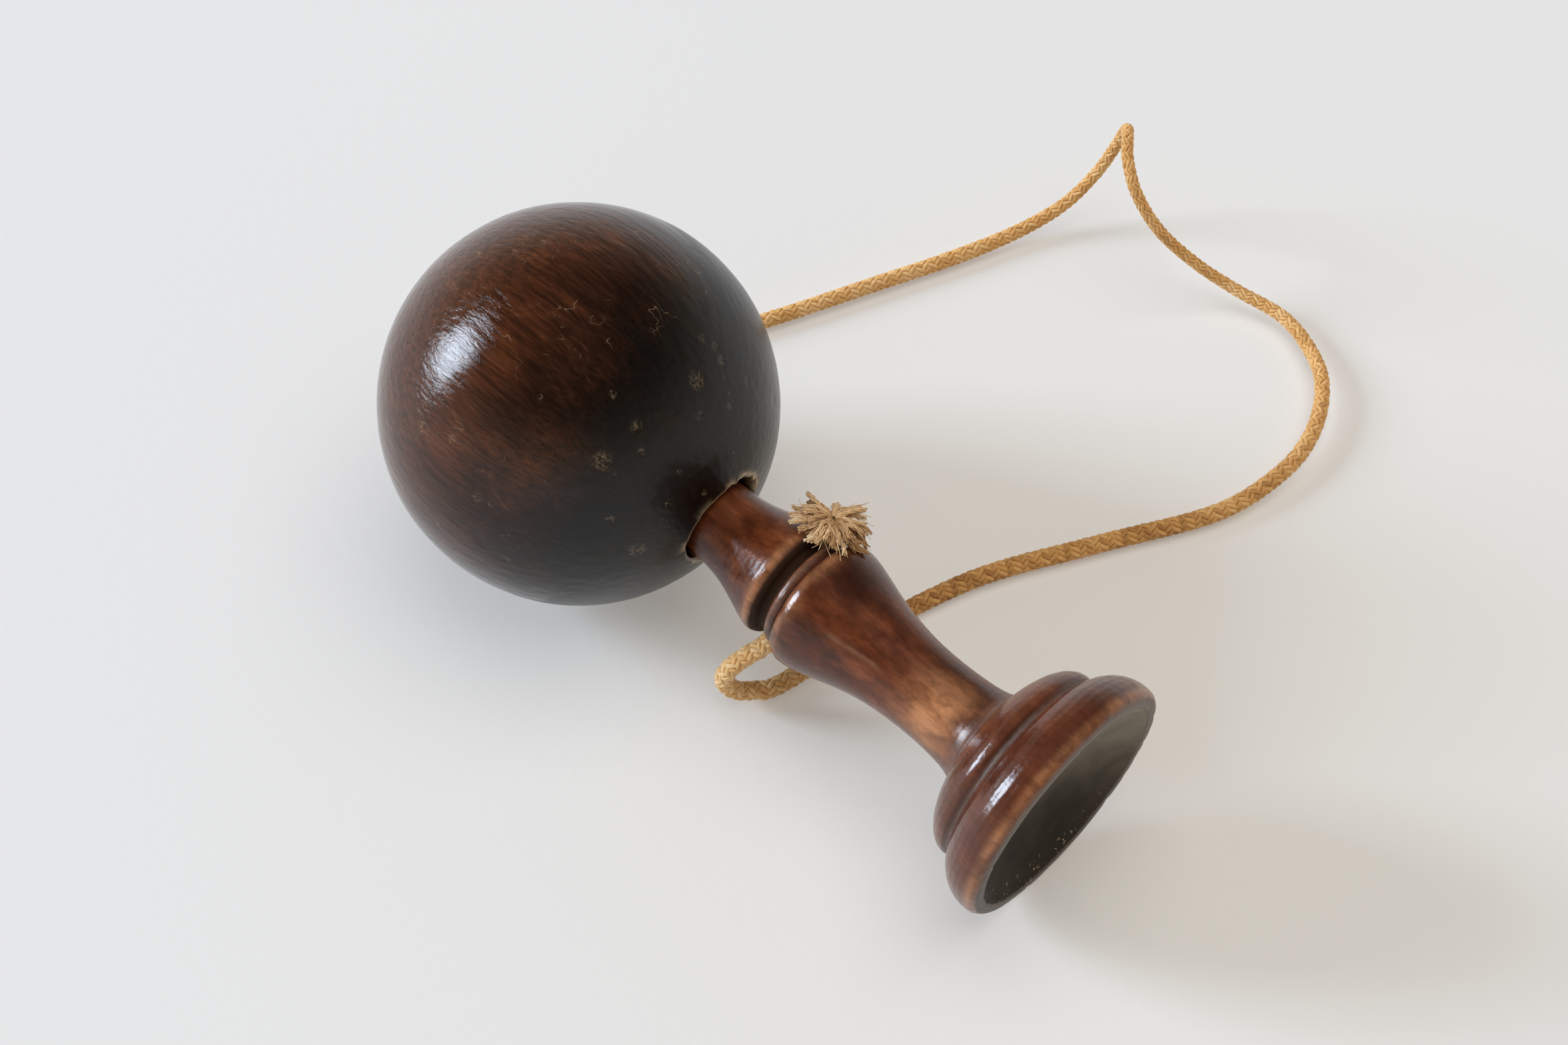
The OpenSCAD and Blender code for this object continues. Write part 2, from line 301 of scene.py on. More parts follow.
STRANDS = 8
BRAID_TURN = 10.4
BRAID_MID = 1.08
BRAID_LIFT = 0.2
STRAND_W = 0.39
STRAND_T = 0.32
STRAND_SIDES = 6
STRAND_TONES = (0.35, 1)
CORE_R = BRAID_MID - 0.12
CORE_SIDES = 8
# The core shows in the braid's gaps and is toned darker there, as painted shade
CORE_GAP_SHADE = -0.4
RING_GAP = 0.36


def braid(pile, path, thickness=((0, 1),), shade=((0, 0),)):
    """Adds a braid's core and strands round a path in mm, with its thickness and tone at lengths along it."""
    path = resample(path, RING_GAP)
    s = along(path)
    size = np.interp(s, *zip(*thickness))
    tone = np.repeat(np.interp(s, *zip(*shade)), STRAND_SIDES)
    side, up = carried_frame(path)
    pile.add(*tube(path, side, up, size * CORE_R, size * CORE_R, CORE_SIDES), CORE_GAP_SHADE)
    for way in (1, -1):
        lift = way * BRAID_LIFT * np.cos(STRANDS * math.pi * s / BRAID_TURN - math.pi / 4)
        for k in range(STRANDS):
            turn = way * TURN * s / BRAID_TURN + TURN * k / STRANDS
            out = np.cos(turn)[:, None] * side + np.sin(turn)[:, None] * up
            centre = path + out * (size * (BRAID_MID + lift))[:, None]
            across = unit(np.cross(unit(np.gradient(centre, axis=0)), out))
            strand = tube(centre, across, out, size * STRAND_W, size * STRAND_T, STRAND_SIDES)
            pile.add(*strand, tone + rng.uniform(*STRAND_TONES))


# The old cord is slack and full near the handle, and pulled thin where it stands up in the arch: its
# thickness, and how much paler its cotton is, at lengths in mm from the ball. The paler far run and arch
# are painted light, the darker run back towards the handle is painted shade, and the loop at the end is paler
CORD_THICKNESS = (
    (0, 1), (60, 0.94), (125, 0.94), (152, 0.74), (205, 0.72), (235, 0.88), (262, 0.98), (300, 1.05),
    (388, 1.05))
CORD_TONE_AND_LIGHT = (
    (0, 0), (130, 0.1), (200, 0.2), (250, 0.05), (290, -0.2), (335, -0.2), (352, 0.0), (366, 0.3),
    (388, 0.45))

# Bend over the rim of the ball's mouth, and the way it drops, leaning from upright about the axis
BEND_R = CORD_HOLE_R + MOUTH_R + 0.3
BEND_Z = MOUTH_Z - 0.1
DROP_LEAN = math.radians(151)


def bend_point(degrees):
    """Point where the cord has bent that far over the rim of the ball's mouth, in mm on the table."""
    w = math.radians(degrees)
    out = BEND_R * (1 - math.cos(w))
    return to_table([-out * math.cos(DROP_LEAN), out * math.sin(DROP_LEAN), BEND_Z - BEND_R * math.sin(w)])


CORD_ROUTE = [
    *[bend_point(degrees) for degrees in (0, 30, 60, 90)],
    [-71.4, 6, 25.5], [-72.3, 11.6, 15], [-70.4, 17, 6.2], [-65.5, 23, 2.2],
    [-54.6, 37, 1.7], [-45.8, 53.8, 1.7], [-37.3, 73.6, 1.7],
    [-31, 88.5, 1.7], [-26.5, 100.4, 2.3], [-23, 109.4, 5], [-20.5, 115.2, 10.5],
    [-18.6, 118, 17], [-16, 116.8, 23.6], [-13, 113, 26.5], [-9.8, 109.2, 25.7],
    [-5.6, 107.2, 21.4], [-0.4, 108.2, 15], [6, 111.6, 8.6], [12.9, 115, 4.2],
    [23, 116.6, 2.6], [32.8, 112.2, 2.7], [38.4, 106.4, 2.9], [42.4, 98, 2.8],
    [43.6, 88, 2.4], [40.6, 73.8, 1.8], [29.8, 54.5, 1.7], [19.5, 35.2, 1.7],
    [13.4, 14, 1.7], [10.2, -2.6, 1.7], [8.1, -6.4, 1.9], [6.6, -9.4, 3.7],
    [5.9, -11.2, 7.6], [7.2, -10.9, 12], [9.1, -9, 15.1],
    to_table(hole_point(-GROOVE_R - 3)), to_table(hole_point(-GROOVE_R + 0.4)),
]
cord_line = spline(CORD_ROUTE)


def make_cord():
    pile = Pile()
    braid(pile, cord_line, CORD_THICKNESS, CORD_TONE_AND_LIGHT)
    return pile.piece("cord_braid")


cord = make_cord()


# Frayed tuft on the handle: a stub of braid whose yarns open like a mop, each a little rope with a blunt end

TUFT_YARNS = 84
STRAY_FIBRES = 70
TUFT_LEN = 5.7
TUFT_WAY = unit(np.array((-0.92, 0.364, -0.14)))
STEM_BEND = np.array((-0.3, -0.55, -0.76))
SAG_WAY = np.array((0.994, 0, 0.11))
OVER_HANDLE = 11.4

# How the yarns spread: turn from one to the next, and angles from the tuft's way for the inmost and outmost
YARN_TURN = math.radians(137.508)
LAYER_STEP = 0.754878
START_ANGLES = (55, 83)
END_ANGLES = (92, 118)
TURN_JITTER = (-0.5, 0.5)
START_JITTER = (-0.32, 0.25)
END_JITTER = (-0.4, 0.3)
ROOT_OUT = (0.2, 1.2)
ROOT_BACK = 1.3
SHORTEST = 0.7
STRAY_MORE = 0.12

# How the length of the yarns changes round the tuft: it is longest on three sides
LOBES = 3
LOBE_START = 1
LOBE_MEAN = 0.96
LOBE_HEIGHT = 0.14

# Crimp, drift and sag of a yarn in mm, and its make
YARN_STEPS = np.linspace(0, 1, 20)
CRIMP = (0.06, 0.24)
CRIMP_WAVES = (6, 11)
DRIFT = 1.6
SAG = (0.8, 2.2)
YARN_PITCH = 4.4
YARN_TONES = (0.1, 1.05)
PLIES = 3
PLY_OUT = 0.18
THREADS = 3
THREAD_OUT = 0.1
THREAD_SPIN = 0.8
THREAD_R = 0.105
THREAD_SIZES = (0.85, 1.1)
THREAD_TONES = (-0.16, 0.16)
THREAD_SIDES = 5
END_SPLAY = 0.35
FIBRE_R = 0.045
FIBRE_TONES = (0.4, 1)


def crimp(t):
    """Waves along a yarn, growing from its root."""
    height = rng.uniform(*CRIMP)
    phase = rng.uniform(*ANY_PHASE)
    return height * np.sin(phase + rng.uniform(*CRIMP_WAVES) * t) * np.sqrt(t)


def yarn_line(root, out, length, start, end):
    """Middle line of a crimped yarn that leaves its root and ends at these angles from the tuft's way."""
    t = YARN_STEPS
    angle = start + (end - start) * t ** 0.8
    step = length * t[1] * (np.cos(angle)[:, None] * TUFT_WAY + np.sin(angle)[:, None] * out)
    crimp_across = crimp(t)
    crimp_along = crimp(t)
    drift = rng.normal(0, DRIFT) * t ** 2
    sag = rng.uniform(*SAG) * t ** 2
    return (root + np.cumsum(step, axis=0) + (crimp_across + drift)[:, None] * np.cross(TUFT_WAY, out)
            + crimp_along[:, None] * TUFT_WAY + sag[:, None] * SAG_WAY)


def clear_of_handle(line):
    """Lifts the points of a line that would lie inside the handle's shoulders."""
    lift = np.maximum(1, OVER_HANDLE / np.hypot(line[:, 0], line[:, 1]))
    return np.stack([line[:, 0] * lift, line[:, 1] * lift, line[:, 2]], axis=1)


def add_yarn(pile, middle, first):
    """Plies twisted together, each of twisted threads, a little splayed at the cut end."""
    across, above = carried_frame(middle, first=first)
    s = along(middle)
    tone = rng.uniform(*YARN_TONES)
    begin = rng.uniform(*ANY_PHASE)
    splay = 1 + END_SPLAY * YARN_STEPS ** 3
    for ply in range(PLIES):
        turn = begin + ply * TURN / PLIES + TURN * s / YARN_PITCH
        for thread in range(THREADS):
            spin = thread * TURN / THREADS - THREAD_SPIN * turn
            x = splay * (PLY_OUT * np.cos(turn) + THREAD_OUT * np.cos(spin))
            y = splay * (PLY_OUT * np.sin(turn) + THREAD_OUT * np.sin(spin))
            count = rng.integers(len(s) - 2, len(s) + 1)
            line = (middle + x[:, None] * across + y[:, None] * above)[:count]
            thick = THREAD_R * rng.uniform(*THREAD_SIZES)
            shell = tube(line, across[:count], above[:count], thick, thick, THREAD_SIDES)
            pile.add(*shell, tone + rng.uniform(*THREAD_TONES))


def between(ends, share):
    """The number that share of the way from one end to the other."""
    return ends[0] + (ends[1] - ends[0]) * share


def make_tuft():
    """The stretch of cord in the cross hole, its frayed yarns, and single fibres astray among them."""
    pile = Pile()
    side = unit(np.cross(TUFT_WAY, (0.0, 0.0, 1.0)))
    up = np.cross(side, TUFT_WAY)
    end = np.array(hole_point(GROOVE_R + TUFT_STEM - 1.0)) + STEM_BEND
    braid(pile, spline([hole_point(-GROOVE_R + 0.5), hole_point(0), hole_point(GROOVE_R + 0.8), end]))
    for i in range(TUFT_YARNS + STRAY_FIBRES):
        stray = i >= TUFT_YARNS
        layer = (LAYER_STEP * i) % 1
        turn = YARN_TURN * i + rng.uniform(*TURN_JITTER)
        out = math.cos(turn) * side + math.sin(turn) * up
        leave = math.radians(between(START_ANGLES, layer)) + rng.uniform(*START_JITTER)
        bend = math.radians(between(END_ANGLES, layer)) + rng.uniform(*END_JITTER)
        root = end + out * between(ROOT_OUT, layer) - TUFT_WAY * ROOT_BACK * layer
        length = TUFT_LEN * rng.uniform(SHORTEST, 1 + STRAY_MORE * stray)
        length *= LOBE_MEAN + LOBE_HEIGHT * math.sin(LOBES * turn + LOBE_START)
        middle = clear_of_handle(yarn_line(root, out, length, leave, bend))
        first = np.cross(TUFT_WAY, out) + 0.3 * out
        if stray:
            shell = tube(middle, *carried_frame(middle, first=first), FIBRE_R, FIBRE_R, THREAD_SIDES)
            pile.add(*shell, rng.uniform(*FIBRE_TONES))
        else:
            add_yarn(pile, middle, first)
    return pile.piece("cord_tuft_threads", on_axis=True)


tuft = make_tuft()


# Stop knot in the ball: the cord's straight run, wound round itself at the end of the bore

KNOT_R = CORD_HOLE_R + CORD_R * 0.55
KNOT_Z = BORE_END + KNOT_GAP + CORD_R
KNOT_RISE = 3.6
KNOT_TURNS = 2.5
COIL_Z = KNOT_Z - 1.2
RUN_END = KNOT_Z - 1.4

# Turns in which the coil opens out, closes in and lies level at its end, and its share of the radius there
OPENING = 0.5
CLOSING = 0.4
LEVEL = 0.2
END_SHARE = 0.25


def make_knot():
    """The run through the cord's hole, and a coil that opens out, climbs and closes in again."""
    turns = np.linspace(0, KNOT_TURNS, 60)
    opened = turns / OPENING
    closed = (KNOT_TURNS - turns) / CLOSING + END_SHARE
    r = KNOT_R * np.clip(np.minimum(opened, closed), 0, 1)
    height = COIL_Z + KNOT_RISE * np.clip(turns / (KNOT_TURNS - LEVEL), 0, 1)
    coil = np.stack([r * np.cos(TURN * turns), r * np.sin(TURN * turns), height], axis=1)
    run = np.linspace([0, 0, MOUTH_Z], [0, 0, RUN_END], 20)
    pile = Pile()
    braid(pile, np.vstack([run, coil]))
    return pile.piece("cord_knot", on_axis=True)


knot = make_knot()


# Turned pieces

SHARP_EDGE = 50
HOLE_SIDES = 40
Skin = namedtuple("Skin", "points normals place angle rows")


class Outline(list):
    """Points [r, z] of a profile, drawn one stretch after the other."""

    def line(self, end, steps):
        self += np.linspace(self[-1], end, steps + 1)[1:].tolist()

    def curve(self, b, c, end, steps):
        self += cubic(self[-1], b, c, end, steps)


def outward(step):
    """Directions out of the wood for steps along a profile."""
    return unit(np.stack([step[:, 1], -step[:, 0]], axis=1))


def swept(rows, ring):
    """Rows [r, z] carried round a ring of directions."""
    level = np.broadcast_to(rows[:, None, 1:], (len(rows), len(ring), 1))
    return np.concatenate([rows[:, None, :1] * ring[None], level], axis=2).reshape(-1, 3)


def turned(name, profile, segments, closed, shape):
    """Turns a profile about z. shape gives the moves of the skin's points, and named values at them."""
    profile = np.asarray(profile, float)
    if closed:
        rows = profile
        step = np.roll(rows, -1, axis=0) - np.roll(rows, 1, axis=0)
    else:
        rows = profile[1:-1]
        step = np.gradient(profile, axis=0)[1:-1]
    angle = np.linspace(0, TURN, segments, endpoint=False)
    ring = np.stack([np.cos(angle), np.sin(angle)], axis=1)
    skin = Skin(swept(rows, ring), swept(outward(step), ring), np.repeat(along(rows), segments),
                np.tile(angle, len(rows)), rows)
    moves, values = shape(skin)
    points = skin.points + moves
    i, k = np.meshgrid(np.arange(len(rows) if closed else len(rows) - 1), np.arange(segments), indexing="ij")
    j = (i + 1) % len(rows)
    n = (k + 1) % segments
    corners = [i * segments + k, i * segments + n, j * segments + n, j * segments + k]
    faces = np.stack(corners, axis=-1).reshape(-1, 4).tolist()
    if not closed:
        count = len(points)
        last = (len(rows) - 1) * segments
        faces += [[count, (s + 1) % segments, s] for s in range(segments)]
        faces += [[count + 1, last + s, last + (s + 1) % segments] for s in range(segments)]
        points = np.vstack([points, [[0, 0, profile[0][1]], [0, 0, profile[-1][1]]]])
        values = {key: np.concatenate([v, [v[0], v[last]]]) for key, v in values.items()}
    return add_object(name, points, faces, on_axis=True, values=values, sharp=SHARP_EDGE)


def standing_out(rows, reach):
    """How far each row of a profile stands out from its own average over that reach, in mm."""
    s = along(rows)
    weight = band(s[:, None], s[None], reach) * np.gradient(s)[None]
    mean = weight @ rows / weight.sum(axis=1, keepdims=True)
    return ((rows - mean) * outward(np.gradient(rows, axis=0))).sum(axis=1)


def drill(piece, radius, start, end):
    """Cuts a round hole from one point to another, in axis coordinates and mm."""
    line = np.linspace(start, end, 3)
    side, up = carried_frame(line)
    cutter = add_object("cutter", *tube(line, side, up, radius, radius, HOLE_SIDES), on_axis=True)
    cut = piece.modifiers.new("hole", "BOOLEAN")
    cut.operation = "DIFFERENCE"
    cut.solver = "EXACT"
    cut.object = cutter
    bpy.context.view_layer.update()
    mesh = bpy.data.meshes.new_from_object(piece.evaluated_get(bpy.context.evaluated_depsgraph_get()))
    piece.modifiers.clear()
    piece.data = mesh
    bpy.data.objects.remove(cutter)


# Handle

HANDLE_SEGMENTS = 256
DRILL_REACH = 16
COVE_R = 16.95
COVE_ANGLE = math.radians(22)
GROOVE_EDGE = GROOVE_Z1 + 0.06

# Depths in mm of its unevenness, the turner's marks, worn ridges, nicks in the lip and rings in the cup
UNEVEN = 0.07
TOOL_MARKS = 0.014
RIDGE_WEAR = 0.42
NICK = 0.5
CUP_RINGS = 0.03

# Places of its wear along the axis, and round it in degrees
NECK_STAIN_Z = NECK_Z + 2.9
SHOULDER_RUB_Z = SHOULDER_Z - 0.65
STAIN_Z = SHOULDER_Z + 4.85
STAIN_SIDE = 160
MARK_Z0 = SHOULDER_Z + 5.35
MARK_Z1 = MARK_Z0 + 12
MARK_SIDE = -133.6
MARK_TWIST = -0.3
# Golden wear on the waist, spread towards the flare as a painted sheen
GOLDEN_SHEEN_Z = WAIST_Z + 4.35
GOLDEN_SHEEN_SIDE = -134
BARE_SIDE = -30
# Way across the cup to the side where painted light falls, and the width over which painted light and shade
# across cup and lip change
CUP_LIT_WAY = (-0.926, 0.376)
CUP_WIDTH = 38


def handle_profile():
    """Outline from the spike's tip to the middle of the cup."""
    # Spike with a round end
    outline = Outline([[0, TIP_Z]])
    outline += [[SPIKE_TIP_R * math.sin(w), TIP_Z + SPIKE_ROUND * (1 - math.cos(w))]
                for w in np.linspace(0.12, math.pi / 2, 12)]
    outline.line([SPIKE_R, NECK_Z], 25)

    # Neck that flares into the collar
    outline.curve([SPIKE_R, NECK_Z + NECK_LEN * 0.42], [COLLAR_R - 1.5, NECK_Z + NECK_LEN * 0.72],
                  [COLLAR_R - 0.25, COLLAR_Z - 0.3], 26)
    outline.curve([COLLAR_R + 0.06, COLLAR_Z + COLLAR_ROUND * 0.25],
                  [COLLAR_R + 0.05, COLLAR_Z + COLLAR_ROUND * 0.75],
                  [COLLAR_R - 0.8, COLLAR_Z + COLLAR_ROUND], 14)

    # Groove and quirk
    outline.curve([COLLAR_R - 1.1, GROOVE_Z0 - 0.1], [GROOVE_R + 0.2, GROOVE_Z0 - 0.1],
                  [GROOVE_R, GROOVE_Z0 + 0.1], 6)
    outline.line([GROOVE_R, GROOVE_Z1 - 0.1], 8)
    outline.append([GROOVE_R + 0.1, GROOVE_Z1 + 0.02])
    outline.curve([GROOVE_R + QUIRK_H * 1.2, GROOVE_Z1 + 0.05],
                  [GROOVE_R + QUIRK_H * 1.5, GROOVE_Z1 + QUIRK_W * 0.75],
                  [GROOVE_R + QUIRK_H - 0.2, SHOULDER_Z0], 16)

    # Shoulder, waist and flare
    outline.curve([SHOULDER_R - 0.75, SHOULDER_Z0], [SHOULDER_R, SHOULDER_Z - SHOULDER_LEN * 0.55],
                  [SHOULDER_R, SHOULDER_Z], 14)
    outline.curve([SHOULDER_R, SHOULDER_Z + TAPER_LEN * 0.21], [WAIST_R, SHOULDER_Z + TAPER_LEN * 0.46],
                  [WAIST_R, WAIST_Z], 40)
    outline.curve([WAIST_R, WAIST_Z + FLARE_LEN * 0.5], [WAIST_R + 0.3, FLARE_Z - 1.2],
                  [FLARE_R, FLARE_Z], 26)

    # Small bead
    outline += [[FLARE_R + 0.02, FLARE_Z + 0.12], [FLARE_R + 0.12, BEAD_Z0 + 0.02]]
    outline += cubic([FLARE_R + 0.3, BEAD_Z0 + 0.1], [BEAD_R - 4.2, BEAD_Z0 + BEAD_W * 0.1],
                     [BEAD_R - 0.1, BEAD_Z0 + BEAD_W * 0.43], [BEAD_R, BEAD_Z1 - 1.3], 28)
    outline.curve([BEAD_R, BEAD_Z1 - 0.85], [COVE_R, BEAD_Z1 - 0.8], [COVE_R, BEAD_Z1 - 0.3], 8)

    # Cove and large bead
    w = COVE_ANGLE - math.acos((NOTCH_R - HUB_R) / FOOT_ROUND)
    r = HUB_R + FOOT_ROUND * math.cos(w)
    z = CREST_Z + FOOT_ROUND * math.sin(w)
    outline.curve([COVE_R, BEAD_Z1 + 0.1], [r + 1.3 * math.sin(w), z - 1.3 * math.cos(w)], [r, z], 14)
    outline += arc([HUB_R, CREST_Z], FOOT_ROUND, w + 0.03, math.asin((CREST_TO_LIP - 1.0) / FOOT_ROUND), 44)

    # Lip and cup
    outline.curve([LIP_R1 + 0.12, LIP_Z - 0.4], [LIP_R1 - 0.2, LIP_Z], [LIP_R1 - 0.9, LIP_Z], 12)
    outline.line([LIP_R0 + 0.35, LIP_Z], 4)
    outline += [[LIP_R0 + 0.15, LIP_Z - 0.03], [LIP_R0 - 0.05, LIP_Z - 0.11]]
    outline += [[CUP_R * math.sin(w), CUP_CENTRE - CUP_R * math.cos(w)]
                for w in np.linspace(math.asin(CUP_RIM_R / CUP_R), 0, 34)]
    return outline


def shape_handle(skin):
    """Hand-turned unevenness, worn ridges, a chipped lip, and where the wood is worn pale, dirty or bare,
    with painted shade in the groove and on the quirk, a painted sheen on the waist, and painted light and
    shade across the cup.
    """
    x, y, z = skin.points.T
    r = np.hypot(x, y)
    proud = np.repeat(standing_out(skin.rows, 1.6), len(z) // len(skin.rows))
    ridge = rise(proud, 0.13, 0.3)
    recess = rise(-proud, 0, 0.3)
    rough = wobble(skin.points, 0.55, 3.1)
    coarse = wobble(skin.points, 0.16, 9.4)
    spots = wobble(skin.points, (0.42, 0.42, 0.2), 12.6)
    nicks = np.clip(wobble(skin.points, 0.9, 5.7) - 0.36, 0, 1)
    outside = rise(z, NECK_Z + 3, 3)
    dish = ((z > CUP_Z - 0.2) & (r < LIP_R0)).astype(float)

    # How far the surface moves out
    move = UNEVEN * coarse * outside + TOOL_MARKS * np.sin(z * 5.2 + 1.4 * coarse) * outside
    move -= ridge * np.clip(rough - 0.12, 0, 1) * RIDGE_WEAR
    move -= band(z, LIP_Z, 0.5) * band(r, LIP_R0, 0.7) * nicks * NICK
    move += dish * CUP_RINGS * np.sin(r * 4.6)

    # Where the wood is worn pale, marked, stained, dirty or bare, and where light and shade are painted
    foot = rise(z, FLARE_Z - 2, 4)
    # Golden wear on the waist, spread towards the flare as a painted sheen
    golden_sheen = band(z, GOLDEN_SHEEN_Z, 4.8) * near(skin.angle, GOLDEN_SHEEN_SIDE, 64) * np.clip(0.9 + 0.6 * spots, 0, 1)
    edge = band(z, LIP_Z - 1.25, 0.75) * (r > LIP_R1 - 0.4) * (0.42 + 0.25 * coarse + 0.2 * spots)
    shoulder = band(z, SHOULDER_RUB_Z, 1.3) * np.clip(0.4 + 0.7 * spots, 0, 1)
    crest = band(z, COLLAR_Z + 0.3, 0.75) * np.clip(0.6 + 0.5 * rough, 0, 1)
    rubbed_and_sheen = ridge * (0.75 + 0.6 * rough) * (1 - 0.75 * foot)
    rubbed_and_sheen += golden_sheen + 0.85 * edge + 0.38 * shoulder + 0.45 * crest
    mark = rise(z, MARK_Z0, 2) * rise(MARK_Z1 - z, 0, 3)
    mark *= near(skin.angle, MARK_SIDE + MARK_TWIST * (z - MARK_Z0), 3.2)
    stain = band(z, STAIN_Z, 4) * near(skin.angle, STAIN_SIDE, 50)
    # Painted shade on the quirk bead beside the groove, which also dulls it
    quirk = 0.5 * band(z, GROOVE_Z1 + 1, 0.6)
    bare = band(r, LIP_R0 - 1.2, 1.3) * (z > LIP_Z - 1.8) * dish
    values = {
        "rubbed_and_sheen": np.clip(rubbed_and_sheen, 0, 1),
        "stain": stain + band(z, NECK_STAIN_Z, 4.5) * (0.1 + 0.3 * coarse),
        "mark": mark * np.clip(0.6 + 0.8 * rough, 0, 1),
        "grime_and_shade": np.clip(recess * (0.85 + 0.4 * coarse) + quirk, 0, 1),
        # Near-black painted shade in the groove and on the collar's flank down into it, which is also dull
        # there
        "groove": rise(z, COLLAR_Z + 0.9, 0.8) * (z < GROOVE_EDGE),
        "bare": bare * near(skin.angle, BARE_SIDE, 85),
        "dish": dish,
        "lip": rise(z, LIP_Z - 0.45, 0.4) * (r > LIP_R0 - 0.1),
        "foot": foot,
        # Painted light and shade across the cup and lip, lighter towards one side
        "cup_light_side": np.clip(0.5 + (CUP_LIT_WAY[0] * x + CUP_LIT_WAY[1] * y) / CUP_WIDTH, 0, 1),
    }
    return skin.normals * move[:, None], values


def is_dull(points):
    """Whether points of the handle, on the table and in m, are in the groove or in the cup."""
    turn = np.array(AXIS_FRAME.to_3x3())
    x, y, z = ((points - np.array(AXIS_FRAME.translation)) @ turn / MM).T
    in_groove = (z > COLLAR_Z + 1.5) & (z < GROOVE_EDGE)
    in_cup = (np.hypot(x, y) < LIP_R0) & (z > CUP_Z - 0.3)
    return in_groove | in_cup


handle = turned("handle_turned", handle_profile(), HANDLE_SEGMENTS, False, shape_handle)
drill(handle, CORD_HOLE_R, hole_point(-DRILL_REACH), hole_point(DRILL_REACH))


# Ball

BALL_SEGMENTS = 400
OUTSIDE_ROWS = 210
GRAIN_RIDGES = 0.035
OUT_OF_ROUND = 0.12
DENTS = 34
DENT_SIZES = (0.7, 2.0)
DENT_DEPTHS = (0.03, 0.11)
SCUFFED_FROM = 0.07
MARK_DEPTH = 0.05

# Specks and scuffs: way from the ball's middle, and size in mm
BALL_MARKS = (
    (-0.81, 0.26, 0.53, 0.6), (-0.71, 0.29, 0.64, 0.8), (-0.58, 0.20, 0.79, 0.6),
    (-0.83, -0.29, 0.48, 0.6), (-0.62, -0.49, 0.62, 1.6), (-0.63, -0.32, 0.71, 0.6),
    (-0.36, -0.56, 0.75, 0.8), (-0.13, -0.48, 0.87, 1.6), (-0.49, -0.20, 0.85, 0.5),
    (-0.32, -0.11, 0.94, 0.6), (-0.94, 0.05, -0.33, 0.7), (-0.52, -0.86, -0.01, 0.8),
    (-0.92, -0.07, -0.39, 0.6), (-0.89, 0.45, -0.10, 0.5), (-0.81, -0.53, 0.25, 0.5),
    (-0.75, 0.10, 0.66, 1.5), (0.5, 0.7, 0.5, 0.9), (0.2, 0.9, -0.4, 0.7),
    (-0.3, 0.9, 0.3, 0.8), (0.6, -0.5, -0.6, 0.7), (-0.2, 0.6, -0.78, 0.8),
)

# Chips in the bore's rim: angle and half width in degrees, and depth in mm
CHIPS = (
    (131, 27, 1.0), (103, 10, 0.7), (168, 9, 0.3), (-150, 14, 0.12), (-96, 10, 0.2), (-30, 16, 0.3),
    (40, 12, 0.3),
)


def ball_profile():
    """Closed profile from the cord's mouth over the ball to the bore, and back through the cord's hole."""
    rim_w = math.asin((BORE_R + 0.4) / BALL_R)
    mouth_w = math.pi - math.asin((CORD_HOLE_R + MOUTH_R) / BALL_R)
    w = mouth_w + (rim_w - mouth_w) * (1 - (1 - np.linspace(0, 1, OUTSIDE_ROWS)) ** 1.25)
    outside = np.stack([BALL_R * np.sin(w), BALL_R * np.cos(w)], axis=1).tolist()
    rim_z = BALL_R * math.cos(rim_w)
    edge = [[BORE_R + 0.27, rim_z - 0.07], [BORE_R + 0.14, rim_z - 0.2], [BORE_R + 0.04, rim_z - 0.38]]
    wall_z = rim_z - 0.6
    wall = [[BORE_R, wall_z + (BORE_END - wall_z) * (1 - t ** 2.2)] for t in np.linspace(1, 0, 46)]
    floor = np.linspace([BORE_R - 0.3, BORE_END], [CORD_HOLE_R + 0.2, BORE_END], 9).tolist()
    hole = np.linspace([CORD_HOLE_R, BORE_END - 0.2], [CORD_HOLE_R, MOUTH_Z], 14).tolist()
    mouth = arc([CORD_HOLE_R + MOUTH_R, MOUTH_Z], MOUTH_R, math.pi, 1.5 * math.pi, 14)[1:]
    return outside + edge + wall + floor + hole + mouth


